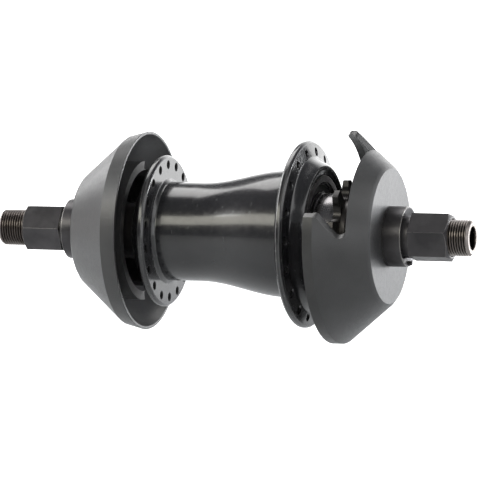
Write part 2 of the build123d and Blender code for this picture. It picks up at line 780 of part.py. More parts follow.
# Drag spring
# An open ring of square wire that grips the sleeve. One end is bent out into the slot of
# the clutch, so that the clutch is held back while the driver starts to turn.
spring_r = drag_sleeve_d / 2 + running_gap + spring_wire / 2
bend_turn = asin(spring_bend / (spring_r + spring_bend))
with BuildPart() as drag_spring:
    with BuildSketch(Plane.YZ.offset(spring_x - spring_wire / 2)):
        with BuildLine():
            bend_start = (0, (spring_r + spring_bend) * cos(bend_turn))
            bend_end = (-spring_r * sin(bend_turn), spring_r * cos(bend_turn))
            Line((0, spring_tang_reach), bend_start)
            TangentArc(bend_start, bend_end, tangent=(0, -1))
            CenterArc((0, 0), spring_r, 90 + degrees(bend_turn), spring_arc)
        trace(line_width=spring_wire)
    extrude(amount=spring_wire)
drag_spring.part.label = "drag_spring"
export_step(drag_spring.part, "parts/drag_spring.step")


# Clutch
# A cone on a threaded body. It rides on the worm; its skirt reaches back over the drag
# spring and has a slot for the spring's tang. At rest it stands one travel off its ring.
with BuildPart() as clutch:
    with BuildSketch(Plane.XZ):
        with BuildLine():
            Polyline(
                (clutch_start, clutch_skirt_bore / 2),
                (clutch_start, clutch_skirt_d / 2),
                (clutch_thread_start, clutch_skirt_d / 2),
                (clutch_thread_start, clutch_body_d / 2),
                (clutch_cone_start, clutch_body_d / 2),
                (clutch_cone_start, clutch_cone_d / 2),
                (clutch_end, ring_small_r),
                (clutch_end, worm_root_d / 2 + worm_gap),
                (clutch_thread_start, worm_root_d / 2 + worm_gap),
                (clutch_thread_start, clutch_skirt_bore / 2),
                close=True,
            )
        make_face()
    revolve(axis=Axis.X)
    for groove in wound_teeth(driver_start, worm_length, worm_root_d, worm_tip_d + 2 * worm_gap, worm_gap):
        add(groove, mode=Mode.SUBTRACT)
    with BuildSketch(Plane.XY.offset(clutch_skirt_bore / 2 - running_gap)):
        with Locations(((clutch_start + spring_x + spring_wire / 2 + tang_side_gap) / 2, 0)):
            Rectangle(
                spring_x + spring_wire / 2 + tang_side_gap - clutch_start,
                spring_wire + 2 * tang_side_gap,
            )
    extrude(amount=clutch_skirt_d, mode=Mode.SUBTRACT)
clutch.part.label = "clutch"
export_step(clutch.part, "parts/clutch.step")


# Cones: the spacers that clamp the bearings, each with a dust shield
def cone(race_face, guard_inside, side, cone_d):
    """Spacer between bearing and guard, with a dust shield over the bearing."""
    shield_start = race_face + side * cone_nose_length
    shield_end = shield_start + side * cone_shield_thickness
    with BuildPart() as spacer:
        with BuildSketch(Plane.XZ):
            with BuildLine():
                Polyline(
                    (race_face, axle_body_d / 2 + axle_gap),
                    (race_face, cone_nose_d / 2),
                    (shield_start, cone_nose_d / 2),
                    (shield_start, cone_shield_d / 2),
                    (shield_end, cone_shield_d / 2),
                    (shield_end, cone_d / 2),
                    (guard_inside, cone_d / 2),
                    (guard_inside, axle_body_d / 2 + axle_gap),
                    close=True,
                )
            make_face()
        revolve(axis=Axis.X)
    return spacer.part


drive_cone = cone(driver_end, drive_guard_inside, 1, drive_cone_d)
drive_cone.label = "drive_cone"
export_step(drive_cone, "parts/drive_cone.step")

non_drive_cone = cone(side_bearing_out, non_drive_guard_inside, -1, non_drive_cone_d)
non_drive_cone.label = "non_drive_cone"
export_step(non_drive_cone, "parts/non_drive_cone.step")
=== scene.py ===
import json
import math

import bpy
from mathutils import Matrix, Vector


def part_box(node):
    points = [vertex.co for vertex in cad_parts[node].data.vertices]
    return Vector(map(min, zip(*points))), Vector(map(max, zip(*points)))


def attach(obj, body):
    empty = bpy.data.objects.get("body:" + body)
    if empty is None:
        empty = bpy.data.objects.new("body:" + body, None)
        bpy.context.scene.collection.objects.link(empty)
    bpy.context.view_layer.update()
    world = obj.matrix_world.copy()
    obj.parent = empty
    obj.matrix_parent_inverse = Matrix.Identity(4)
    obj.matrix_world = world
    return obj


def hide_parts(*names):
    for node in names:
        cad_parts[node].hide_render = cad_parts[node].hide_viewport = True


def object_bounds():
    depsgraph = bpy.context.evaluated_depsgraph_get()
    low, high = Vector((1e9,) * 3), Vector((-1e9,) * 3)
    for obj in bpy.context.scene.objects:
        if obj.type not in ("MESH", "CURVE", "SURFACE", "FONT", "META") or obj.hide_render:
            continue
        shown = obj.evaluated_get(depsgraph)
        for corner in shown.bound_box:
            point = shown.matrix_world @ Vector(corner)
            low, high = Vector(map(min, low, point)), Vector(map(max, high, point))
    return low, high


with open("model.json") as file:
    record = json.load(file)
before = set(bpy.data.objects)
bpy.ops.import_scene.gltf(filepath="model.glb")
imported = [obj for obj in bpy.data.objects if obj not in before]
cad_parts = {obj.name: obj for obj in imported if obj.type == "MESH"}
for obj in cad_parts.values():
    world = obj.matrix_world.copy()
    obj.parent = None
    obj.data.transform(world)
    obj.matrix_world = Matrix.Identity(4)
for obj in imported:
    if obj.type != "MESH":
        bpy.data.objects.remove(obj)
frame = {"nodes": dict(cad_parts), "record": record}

# %% [markdown]
# # A freecoaster hub
#
# This is the rear hub of a one-speed bicycle on which the wheel can roll backwards while the
# cranks stand still. The engineering model gives every piece its place. This lesson gives the
# pieces that show their rounded edges, holes, threads and finishes. X runs along the axle with
# the drive side at +X, and Z is up. Sizes are written in millimetres and multiplied by mm.

mm = 0.001
cad_low, cad_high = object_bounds()
print("engineering model", [round(side / mm, 1) for side in cad_high - cad_low], "mm")

# %% [markdown]
# ## Camera
#
# The photograph was taken with a long lens from about two metres, a little above the axle and
# from the drive side. A long lens keeps both flanges nearly the same height, so it could not be
# swapped for a near camera. The place and the lens come from fitting the outlines of the hub.

# %% Camera
camera_azimuth = math.radians(19.39)
camera_elevation = math.radians(4.04)
camera_place = Vector((665.2, -1884.0, 138.2)) * mm
camera_lens = 387.9
camera_sensor = 36
camera_reach = 30

camera_data = bpy.data.cameras.new("photo_camera")
camera_data.lens = camera_lens
camera_data.sensor_width = camera_sensor
camera_data.clip_end = camera_reach
camera = bpy.data.objects.new("photo_camera", camera_data)
bpy.context.scene.collection.objects.link(camera)
camera.location = camera_place
looking = Vector((
    -math.sin(camera_azimuth) * math.cos(camera_elevation),
    math.cos(camera_azimuth) * math.cos(camera_elevation),
    -math.sin(camera_elevation),
))
camera.rotation_mode = "QUATERNION"
camera.rotation_quaternion = looking.to_track_quat("-Z", "Y")
bpy.context.scene.camera = camera
bpy.context.scene.view_settings.view_transform = "Standard"
print("camera looks", [round(part, 3) for part in looking])

# %% [markdown]
# ## Small helpers
#
# An operator acts on everything that is selected, so each step first lets go of everything.
# A turned piece is drawn as one closed outline, point by point, and spun round the axle. A
# cylinder primitive could be scaled instead, but an outline keeps every step and chamfer of
# the real turned part in one list that reads from one end to the other.

# %% Helpers
turn_steps = 192
weld = 0.00001


def let_go():
    """Leaves edit mode and selects nothing."""
    if bpy.context.object and bpy.context.object.mode != "OBJECT":
        bpy.ops.object.mode_set(mode="OBJECT")
    bpy.ops.object.select_all(action="DESELECT")


def take(piece):
    """Makes one piece the only selected and active one."""
    let_go()
    piece.hide_set(False)
    piece.select_set(True)
    bpy.context.view_layer.objects.active = piece


def apply_modifier(piece, kind, **settings):
    """Adds a modifier with its settings and applies it."""
    take(piece)
    modifier = piece.modifiers.new(kind.lower(), kind)
    for name, value in settings.items():
        setattr(modifier, name, value)
    bpy.ops.object.modifier_apply(modifier=modifier.name)
    return piece


def close_up(piece, within=weld):
    """Welds doubled points and turns all faces outwards."""
    take(piece)
    bpy.ops.object.mode_set(mode="EDIT")
    bpy.ops.mesh.select_all(action="SELECT")
    bpy.ops.mesh.remove_doubles(threshold=within)
    bpy.ops.mesh.normals_make_consistent(inside=False)
    bpy.ops.object.mode_set(mode="OBJECT")
    return piece


def drawn(name, points):
    """Draws a run of edges from a single point, as by hand."""
    let_go()
    bpy.ops.mesh.primitive_plane_add(size=mm)
    piece = bpy.context.object
    piece.name = name
    piece.data.name = name
    bpy.ops.object.mode_set(mode="EDIT")
    bpy.ops.mesh.select_all(action="SELECT")
    bpy.ops.mesh.merge(type="CENTER")
    bpy.ops.transform.translate(value=points[0])
    for before, after in zip(points, points[1:]):
        bpy.ops.mesh.extrude_vertices_move(TRANSFORM_OT_translate={"value": after - before})
    bpy.ops.mesh.select_all(action="SELECT")
    bpy.ops.mesh.remove_doubles(threshold=weld)
    bpy.ops.object.mode_set(mode="OBJECT")
    return piece


def turned(name, outline, steps=turn_steps, centre=(0, 0)):
    """Spins a closed outline of (place along the axle, radius) in mm round an axis along X."""
    middle = Vector((0, centre[0], centre[1])) * mm
    points = [Vector((along, 0, radius)) * mm + middle for along, radius in outline]
    piece = drawn(name, points + points[:1])
    bpy.ops.object.mode_set(mode="EDIT")
    bpy.ops.mesh.select_all(action="SELECT")
    bpy.ops.mesh.spin(steps=steps, angle=math.tau, center=middle, axis=(1, 0, 0))
    bpy.ops.object.mode_set(mode="OBJECT")
    return close_up(piece)


def pushed(piece, way):
    """Fills a closed outline and pushes it along a way, which makes a solid tool."""
    take(piece)
    bpy.ops.object.mode_set(mode="EDIT")
    bpy.ops.mesh.select_all(action="SELECT")
    bpy.ops.mesh.edge_face_add()
    bpy.ops.mesh.extrude_region_move(TRANSFORM_OT_translate={"value": way})
    bpy.ops.object.mode_set(mode="OBJECT")
    return close_up(piece)


def rounded(piece, width, sharp=30, parts=2, wear_and_highlight_slot=-1):
    """Rounds every edge sharper than an angle; the rounding can take a lighter finish, partly
    wear and partly painted highlight.
    """
    return apply_modifier(
        piece, "BEVEL", width=width * mm, segments=parts, limit_method="ANGLE",
        angle_limit=math.radians(sharp), material=wear_and_highlight_slot,
    )


def carve(piece, tool, operation="DIFFERENCE"):
    """Cuts, joins or trims a piece with a tool, which is then thrown away."""
    apply_modifier(piece, "BOOLEAN", object=tool, operation=operation, solver="EXACT")
    bpy.data.objects.remove(tool)
    return piece


def smooth(piece, sharp=30):
    """Shades a piece smooth except at its sharp edges, and lets the large faces stay even."""
    take(piece)
    bpy.ops.object.shade_smooth_by_angle(angle=math.radians(sharp))
    return apply_modifier(piece, "WEIGHTED_NORMAL", keep_sharp=True, weight=50)


def fit(piece, body, slot, *nodes):
    """Seats a finished piece on its body in place of the plain nodes."""
    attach(piece, body)
    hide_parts(*nodes)
    print(piece.name, len(piece.data.polygons), "faces")
    return piece


# %% [markdown]
# ## Surface effects
#
# Three effects come back in several finishes, so each is a node group with its own inputs.
# Turning marks are rings: the pattern changes along the axle and with the radius, but not
# round the axle. Patches are slow changes of tone, as in an oxide bath or a handled surface.
# Moulded grain is the fine even texture that a spark-eroded mould leaves on nylon.

# %% Surface effect groups
def effect_group(name, outputs):
    """Starts a node group with a place, a scale and the named outputs."""
    group = bpy.data.node_groups.new(name, "ShaderNodeTree")
    group.interface.new_socket("Place", in_out="INPUT", socket_type="NodeSocketVector")
    group.interface.new_socket("Scale", in_out="INPUT", socket_type="NodeSocketFloat")
    for output in outputs:
        group.interface.new_socket(output, in_out="OUTPUT", socket_type="NodeSocketFloat")
    start = group.nodes.new("NodeGroupInput")
    end = group.nodes.new("NodeGroupOutput")
    return group, start, end


def math_node(tree, operation, first, second):
    """One arithmetic node; an input is a socket or a number."""
    node = tree.nodes.new("ShaderNodeMath")
    node.operation = operation
    for socket, value in zip(node.inputs, (first, second)):
        if isinstance(value, (int, float)):
            socket.default_value = value
        else:
            tree.links.new(value, socket)
    return node.outputs[0]


def noise_node(tree, vector, scale, detail):
    """A noise pattern at a scale, which is a socket or a number."""
    node = tree.nodes.new("ShaderNodeTexNoise")
    node.inputs["Detail"].default_value = detail
    tree.links.new(vector, node.inputs["Vector"])
    if isinstance(scale, (int, float)):
        node.inputs["Scale"].default_value = scale
    else:
        tree.links.new(scale, node.inputs["Scale"])
    return node.outputs[0]


def range_node(tree, value, low, high, to_low=0.0, to_high=1.0):
    """Spreads a stretch of a value over another stretch."""
    node = tree.nodes.new("ShaderNodeMapRange")
    tree.links.new(value, node.inputs["Value"])
    node.inputs["From Min"].default_value = low
    node.inputs["From Max"].default_value = high
    node.inputs["To Min"].default_value = to_low
    node.inputs["To Max"].default_value = to_high
    return node.outputs[0]


def radius_of(tree, place):
    """Distance from the axle, and the place along it."""
    split = tree.nodes.new("ShaderNodeSeparateXYZ")
    tree.links.new(place, split.inputs[0])
    across = math_node(tree, "MULTIPLY", split.outputs["Y"], split.outputs["Y"])
    up = math_node(tree, "MULTIPLY", split.outputs["Z"], split.outputs["Z"])
    return math_node(tree, "SQRT", math_node(tree, "ADD", across, up), 0), split.outputs["X"]


ring_detail = 3
patch_detail = 5
fine_detail = 4
grain_detail = 2
finer_by = 9
patch_spread = (0.35, 0.65)
fine_spread = (0.3, 0.7)

turning_group, start, end = effect_group("turning_marks", ["Mark"])
ring_radius, along = radius_of(turning_group, start.outputs["Place"])
ring_place = turning_group.nodes.new("ShaderNodeCombineXYZ")
turning_group.links.new(along, ring_place.inputs["X"])
turning_group.links.new(ring_radius, ring_place.inputs["Y"])
marks = noise_node(turning_group, ring_place.outputs[0], start.outputs["Scale"], ring_detail)
turning_group.links.new(marks, end.inputs["Mark"])

patch_group, start, end = effect_group("tone_patches", ["Patch", "Fine"])
patch_size = start.outputs["Scale"]
patches = noise_node(patch_group, start.outputs["Place"], patch_size, patch_detail)
finer_scale = math_node(patch_group, "MULTIPLY", patch_size, finer_by)
finer = noise_node(patch_group, start.outputs["Place"], finer_scale, fine_detail)
patch_group.links.new(range_node(patch_group, patches, *patch_spread), end.inputs["Patch"])
patch_group.links.new(range_node(patch_group, finer, *fine_spread), end.inputs["Fine"])

grain_group, start, end = effect_group("moulded_grain", ["Grain"])
grain_size = start.outputs["Scale"]
grains = noise_node(grain_group, start.outputs["Place"], grain_size, grain_detail)
grain_group.links.new(range_node(grain_group, grains, *fine_spread), end.inputs["Grain"])
print("surface effects", [group.name for group in (turning_group, patch_group, grain_group)])

# %% [markdown]
# ## Finishes
#
# Every finish is a Principled shader with its plain values set on its own sockets, and only
# what changes over the surface wired in: a tone that drifts, a roughness that carries marks
# and a small bump. A single colour would look like a drawing of metal.

# %% One recipe for all finishes
patch_scale = 60
rough_spread = 0.7
bump_strength = 0.6


def finish(name, dark, light, rough, shine, effect, scale, bump, metallic=0.0, coat=0.0):
    """A finish whose tone and roughness drift between two values, with a bumped effect."""
    material = bpy.data.materials.new(name)
    material.use_nodes = True
    tree = material.node_tree
    shader = tree.nodes["Principled BSDF"]
    shader.inputs["Metallic"].default_value = metallic
    shader.inputs["Specular IOR Level"].default_value = shine
    shader.inputs["Coat Weight"].default_value = coat
    place = tree.nodes.new("ShaderNodeTexCoord").outputs["Object"]

    tones = tree.nodes.new("ShaderNodeGroup")
    tones.node_tree = patch_group
    tones.inputs["Scale"].default_value = patch_scale
    tree.links.new(place, tones.inputs["Place"])
    mix = tree.nodes.new("ShaderNodeMix")
    mix.data_type = "RGBA"
    mix.inputs["A"].default_value = (*dark, 1)
    mix.inputs["B"].default_value = (*light, 1)
    tree.links.new(tones.outputs["Patch"], mix.inputs["Factor"])
    tree.links.new(mix.outputs["Result"], shader.inputs["Base Color"])

    marks = tree.nodes.new("ShaderNodeGroup")
    marks.node_tree = effect
    marks.inputs["Scale"].default_value = scale
    tree.links.new(place, marks.inputs["Place"])
    blended = math_node(tree, "MULTIPLY", marks.outputs[0], tones.outputs["Fine"])
    low, high = rough
    roughness = range_node(tree, blended, 0, rough_spread, low, high)
    tree.links.new(roughness, shader.inputs["Roughness"])

    raised = tree.nodes.new("ShaderNodeBump")
    raised.inputs["Distance"].default_value = bump * mm
    raised.inputs["Strength"].default_value = bump_strength
    tree.links.new(marks.outputs[0], raised.inputs["Height"])
    tree.links.new(raised.outputs["Normal"], shader.inputs["Normal"])
    return material


black_anodised = finish(
    "black_anodised", dark=(0.010, 0.010, 0.012), light=(0.017, 0.017, 0.019),
    rough=(0.16, 0.30), shine=0.75, effect=turning_group, scale=2600, bump=0.010,
    coat=0.25,
)
guard_nylon = finish(
    "guard_nylon", dark=(0.028, 0.028, 0.029), light=(0.038, 0.038, 0.039),
    rough=(0.30, 0.42), shine=0.5, effect=grain_group, scale=2400, bump=0.03,
)
# A lighter nylon for the rounded edges of the guards and the seal: partly wear, partly painted
# highlight.
nylon_edge_wear_and_highlight = finish(
    "nylon_edge_wear_and_highlight", dark=(0.045, 0.045, 0.047), light=(0.065, 0.065, 0.067),
    rough=(0.32, 0.45), shine=0.6, effect=grain_group, scale=2400, bump=0.03,
)
# Painted highlight: a lighter anodising on the shell's rounded edges draws thin light lines
# along them.
anodised_edge_highlight = finish(
    "anodised_edge_highlight", dark=(0.030, 0.030, 0.032), light=(0.060, 0.060, 0.062),
    rough=(0.20, 0.32), shine=0.75, effect=turning_group, scale=2600, bump=0.010,
    coat=0.25,
)
black_oxide = finish(
    "black_oxide", dark=(0.050, 0.048, 0.051), light=(0.095, 0.091, 0.095),
    rough=(0.30, 0.46), shine=0.5, effect=turning_group, scale=1800, bump=0.02,
    metallic=0.75,
)
# A lighter oxide for the rounded edges of rings, collars and nuts: partly wear, partly painted
# highlight.
oxide_edge_wear_and_highlight = finish(
    "oxide_edge_wear_and_highlight", dark=(0.16, 0.155, 0.15), light=(0.26, 0.25, 0.24),
    rough=(0.25, 0.4), shine=0.5, effect=turning_group, scale=1800, bump=0.02,
    metallic=0.9,
)
axle_steel = finish(
    "axle_steel", dark=(0.17, 0.15, 0.14), light=(0.33, 0.30, 0.28),
    rough=(0.28, 0.42), shine=0.5, effect=turning_group, scale=1500, bump=0.02,
    metallic=1.0,
)
inner_steel = finish(
    "inner_steel", dark=(0.36, 0.36, 0.365), light=(0.50, 0.50, 0.50),
    rough=(0.22, 0.36), shine=0.5, effect=turning_group, scale=1500, bump=0.02,
    metallic=1.0,
)
bearing_steel = finish(
    "bearing_steel", dark=(0.55, 0.55, 0.56), light=(0.66, 0.66, 0.67),
    rough=(0.10, 0.20), shine=0.5, effect=turning_group, scale=2500, bump=0.01,
    metallic=1.0,
)
seal_rubber = finish(
    "seal_rubber", dark=(0.016, 0.016, 0.016), light=(0.030, 0.030, 0.030),
    rough=(0.5, 0.7), shine=0.4, effect=grain_group, scale=1800, bump=0.04,
)
dark_chrome = finish(
    "dark_chrome", dark=(0.15, 0.145, 0.148), light=(0.26, 0.25, 0.255),
    rough=(0.20, 0.34), shine=0.5, effect=turning_group, scale=2200, bump=0.006,
    metallic=1.0,
)
# Painted shade: a near black metal for the sprocket disc, which the guard shades.
sprocket_painted_shade = finish(
    "sprocket_painted_shade", dark=(0.020, 0.019, 0.019), light=(0.050, 0.047, 0.046),
    rough=(0.28, 0.42), shine=0.5, effect=turning_group, scale=2200, bump=0.010,
    metallic=0.7,
)
# Painted shade: near black for what the drills cut, the insides of the spoke holes.
hole_shade = finish(
    "hole_shade", dark=(0.006, 0.006, 0.006), light=(0.010, 0.010, 0.010),
    rough=(0.5, 0.7), shine=0.2, effect=turning_group, scale=2600, bump=0.010,
)
spring_steel = finish(
    "spring_steel", dark=(0.26, 0.235, 0.20), light=(0.40, 0.37, 0.33),
    rough=(0.25, 0.4), shine=0.5, effect=turning_group, scale=1500, bump=0.02,
    metallic=1.0,
)


# Painted shade: a near black tone for the thread roots and the hollow of the axle.
groove_shade_tone = (0.012, 0.010, 0.009, 1)


def paint_groove_shade(material, root, crest, end_x):
    """Paints shade below a radius, in the thread grooves and the hollow, up to the end face."""
    tree = material.node_tree
    shader = tree.nodes["Principled BSDF"]
    tone = shader.inputs["Base Color"].links[0].from_socket
    place = tree.nodes.new("ShaderNodeTexCoord").outputs["Object"]
    radius, along = radius_of(tree, place)
    depth = range_node(tree, radius, root * mm, crest * mm, 1.0, 0.0)
    before_end = math_node(tree, "LESS_THAN", math_node(tree, "ABSOLUTE", along, 0), end_x * mm)
    mask = math_node(tree, "MULTIPLY", depth, before_end)
    mix = tree.nodes.new("ShaderNodeMix")
    mix.data_type = "RGBA"
    mix.inputs["B"].default_value = groove_shade_tone
    tree.links.new(mask, mix.inputs["Factor"])
    tree.links.new(tone, mix.inputs["A"])
    tree.links.new(mix.outputs["Result"], shader.inputs["Base Color"])


paint_groove_shade(axle_steel, root=6.42, crest=6.78, end_x=95.3)
finish_of_slot = {
    "black_anodised": black_anodised, "guard_nylon": guard_nylon, "black_oxide": black_oxide,
    "axle_steel": axle_steel, "inner_steel": inner_steel, "bearing_steel": bearing_steel,
    "seal_rubber": seal_rubber, "dark_chrome": dark_chrome, "spring_steel": spring_steel,
}

# %% [markdown]
# The pieces inside the hub keep the shape of the engineering model. Each takes the finish of
# its slot in the record, so a reader who opens the hub finds ground steel and not grey clay.

# %% Finishes of the engineering nodes
slot_of_node = {row["node"]: row["material_slot"] for row in frame["record"]["subparts"]}
for node_name, node in frame["nodes"].items():
    node.data.materials.clear()
    node.data.materials.append(finish_of_slot[slot_of_node[node_name]])
print(len(slot_of_node), "nodes have a finish")

# %% [markdown]
# ## Hub shell
#
# The shell is one aluminium turning, anodised gloss black. The outline starts in the mouth of
# the drive side, flares out over the wide flange, along the tube with its double curve, over the
# small flange, and back through the bore. The spoke holes are drilled after the turning, and
# their edges are broken, so that they do not cut the spokes.

# %% Hub shell
shell_low, shell_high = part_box("hub_shell")
shell_drive_face = shell_high.x / mm
shell_side_face = shell_low.x / mm
drive_flange_r = shell_high.y / mm
side_flange_r = 29.4
flange_thick = 3.1
drive_boss_high = 5.9
side_boss_high = 5.6
drive_flange_out = shell_drive_face - drive_boss_high
drive_flange_in = drive_flange_out - flange_thick
side_flange_out = shell_side_face + side_boss_high
side_flange_in = side_flange_out + flange_thick
waist_r = 19.15
shoulder_r = 24.6
waist_end = -13.0
shoulder_start = 23.0
root_step = 1.2
mouth_r = 26.3
face_edge_drop = 1.6
face_edge_r = drive_flange_r - face_edge_drop
face_slope = 0.2
flare_foot_r = 30.2
flare_foot = drive_flange_out + face_slope * (face_edge_r - flare_foot_r)
mouth_slope = 0.4
rim_round = 0.9
bearing_seat_start = 28.3
bearing_seat_end = 35.3
bearing_seat_r = 21.0
ring_seat_end = 35.9
ring_seat_r = 22.9
mouth_inner_r = 25.2
side_boss_r = 18.0
side_seat_end = -28.6
side_seat_r = 14.0
side_lip_r = 12.5
shell_bore_start = -25.6
shell_bore_r = 16.15
clutch_room_start = 5.0
clutch_room_r = 19.4
clutch_ring_start = 17.0
curve_points = 24
flare_points = 14

tube_curve = []
for step in range(curve_points + 1):
    share = step / curve_points
    rise = (1 + math.cos(math.pi * share)) / 2
    tube_curve.append((
        shoulder_start + (waist_end - shoulder_start) * share,
        waist_r + (shoulder_r - waist_r) * rise,
    ))

flare = []
flare_wide = flare_foot_r - mouth_r
flare_high = shell_drive_face - flare_foot
for step in range(flare_points + 1):
    share = 1 - step / flare_points
    swing = share * share * (3 - 2 * share)
    at_foot = share * (1 - share) ** 2 * face_slope * flare_wide
    at_mouth = share * share * (1 - share) * mouth_slope * flare_wide
    flare.append((
        flare_foot + flare_high * swing + at_foot - at_mouth,
        mouth_r + flare_wide * (1 - share),
    ))

shell_outline = [
    (bearing_seat_start, bearing_seat_r),
    (bearing_seat_end, bearing_seat_r),
    (bearing_seat_end, ring_seat_r),
    (ring_seat_end, ring_seat_r),
    (shell_drive_face, mouth_inner_r),
    *flare,
    (drive_flange_out, face_edge_r),
    (drive_flange_out, drive_flange_r - rim_round),
    (drive_flange_out - rim_round, drive_flange_r),
    (drive_flange_in + rim_round, drive_flange_r),
    (drive_flange_in, drive_flange_r - rim_round),
    (drive_flange_in, shoulder_r + root_step),
    (drive_flange_in - root_step, shoulder_r),
    *tube_curve,
    (side_flange_in + root_step, waist_r),
    (side_flange_in, waist_r + root_step),
    (side_flange_in, side_flange_r - rim_round),
    (side_flange_in - rim_round, side_flange_r),
    (side_flange_out + rim_round, side_flange_r),
    (side_flange_out, side_flange_r - rim_round),
    (side_flange_out, waist_r),
    (shell_side_face, side_boss_r),
    (shell_side_face, side_seat_r),
    (side_seat_end, side_seat_r),
    (side_seat_end, side_lip_r),
    (shell_bore_start, shell_bore_r),
    (clutch_room_start, shell_bore_r),
    (clutch_room_start, clutch_room_r),
    (clutch_ring_start, clutch_room_r),
    (clutch_ring_start, bearing_seat_r),
]
hub_shell = turned("shell_turned", shell_outline)
hub_shell.data.materials.append(black_anodised)
hub_shell.data.materials.append(anodised_edge_highlight)
hub_shell.data.materials.append(hole_shade)
rounded(hub_shell, width=0.35, sharp=25, parts=3, wear_and_highlight_slot=1)

# %% [markdown]
# A spoke hole is a plain hole whose edge is broken by a countersink. All eighteen tools of a
# flange are one mesh, so that one cut makes them all. What the drills cut is painted near black
# as painted shade, as hardly any light reaches the inside of such a hole.

# %% Tools for the spoke holes
spoke_count = 18
hole_r = 1.3
sink_r = 1.75
sink_tip = -0.6
sink_clear = 0.01
sink_over = 0.8
drill_over = 1


def all_round(tool, copies):
    """Repeats a tool at even steps round the axle, in the same mesh."""
    take(tool)
    bpy.ops.object.mode_set(mode="EDIT")
    bpy.ops.mesh.select_all(action="SELECT")
    bpy.ops.mesh.spin(
        steps=copies - 1, angle=math.tau * (copies - 1) / copies, center=(0, 0, 0),
        axis=(1, 0, 0), dupli=True,
    )
    bpy.ops.object.mode_set(mode="OBJECT")
    return tool


def shaded(tool):
    """Gives a tool the shell's three finishes, so that what it cuts takes the third one, the
    painted shade.
    """
    for shell_finish in (black_anodised, anodised_edge_highlight, hole_shade):
        tool.data.materials.append(shell_finish)
    for face in tool.data.polygons:
        face.material_index = 2
    return tool


def spoke_drills(low, high, circle_r, first_angle):
    """Eighteen plain drills through a flange."""
    across = circle_r * math.cos(math.radians(first_angle))
    up = circle_r * math.sin(math.radians(first_angle))
    drill = turned("spoke_drill", [
        (low - drill_over, 0),
        (low - drill_over, hole_r),
        (high + drill_over, hole_r),
        (high + drill_over, 0),
    ], steps=24, centre=(across, up))
    return all_round(shaded(drill), spoke_count)


def countersinks(face, circle_r, first_angle, lean):
    """Eighteen countersinks that stand square on a face, which leans by an angle."""
    sink = turned("countersink", [
        (sink_tip, 0),
        (hole_r - sink_r, hole_r - sink_clear),
        (0, sink_r),
        (sink_over, sink_r + sink_over),
        (sink_over, 0),
    ], steps=24)
    sink.data.transform(Matrix.Rotation(math.radians(-lean), 4, "Y"))
    sink.data.transform(Matrix.Translation((face * mm, 0, circle_r * mm)))
    sink.data.transform(Matrix.Rotation(math.radians(first_angle - 90), 4, "X"))
    return all_round(sink, spoke_count)


# %% Spoke holes
spoke_turn = 1.2
half_pitch = 10
drive_circle_r = 32.0
side_circle_r = 25.8
drive_face_at_holes = drive_flange_out + face_slope * (face_edge_r - drive_circle_r)
face_lean = math.degrees(math.atan(face_slope))
side_turn = spoke_turn + half_pitch
carve(hub_shell, spoke_drills(drive_flange_in, shell_drive_face, drive_circle_r, spoke_turn))
carve(hub_shell, spoke_drills(side_flange_out, side_flange_in, side_circle_r, side_turn))
carve(hub_shell, countersinks(drive_face_at_holes, drive_circle_r, spoke_turn, face_lean))
carve(hub_shell, shaded(countersinks(side_flange_in, side_circle_r, side_turn, 0)))
smooth(hub_shell, sharp=30)
fit(hub_shell, "shell", "black_anodised", "hub_shell")

# %% [markdown]
# ## Rings in the mouth
#
# A lock ring holds the bearing of the drive side, and the bearing has a rubber seal and an
# inner race that turns with the driver. All are plain rings in the engineering model. Turned
# again with small broken edges in a lighter edge finish, they catch the fine light circles that
# show round the driver; the lighter finish paints part of these circles as highlight.
# The dust shield on the other side is done the same way, in the dull black of its recess.

# %% Lock ring, seal, inner race and dust shield
for name, body, bore_r, body_finish, edge_finish in (
    ("lock_ring", "shell", 20.4, black_oxide, oxide_edge_wear_and_highlight),
    ("shell_bearing_seal", "shell", 16.65, seal_rubber, nylon_edge_wear_and_highlight),
    ("shell_bearing_inner_race", "driver_group", 15.0, black_oxide, oxide_edge_wear_and_highlight),
):
    ring_low, ring_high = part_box(name)
    ring = turned(name + "_turned", [
        (ring_low.x / mm, bore_r),
        (ring_low.x / mm, ring_high.y / mm),
        (ring_high.x / mm, ring_high.y / mm),
        (ring_high.x / mm, bore_r),
    ])
    ring.data.materials.append(body_finish)
    ring.data.materials.append(edge_finish)
    rounded(ring, width=0.2, parts=2, wear_and_highlight_slot=1)
    smooth(ring)
    fit(ring, body, slot_of_node[name], name)

shield_low, shield_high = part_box("non_drive_cone")
shield_start = shield_low.x / mm
shield_end = shield_high.x / mm
shield_r = shield_high.y / mm
shield_bore_r = 7.55
shield_sleeve_r = 11.0
shield_nose_r = 9.2
shield_nose = 0.9
shield_back = 2.1
shield = turned("non_drive_cone_turned", [
    (shield_start, shield_bore_r),
    (shield_start, shield_sleeve_r),
    (shield_end - shield_back, shield_sleeve_r),
    (shield_end - shield_back, shield_r),
    (shield_end - shield_nose, shield_r),
    (shield_end - shield_nose, shield_nose_r),
    (shield_end, shield_nose_r),
    (shield_end, shield_bore_r),
])
shield.data.materials.append(black_oxide)
rounded(shield, width=0.2)
smooth(shield)
fit(shield, "axle_group", slot_of_node["non_drive_cone"], "non_drive_cone")

# %% [markdown]
# ## Non-drive guard
#
# A nylon cone protects the small flange. It has a crease where the cone turns into a wider
# band, and its open edge is a little rounded by the mould. Inside, a ring with two gaps
# stiffens it, which shows as blocks in the gap beside the flange.

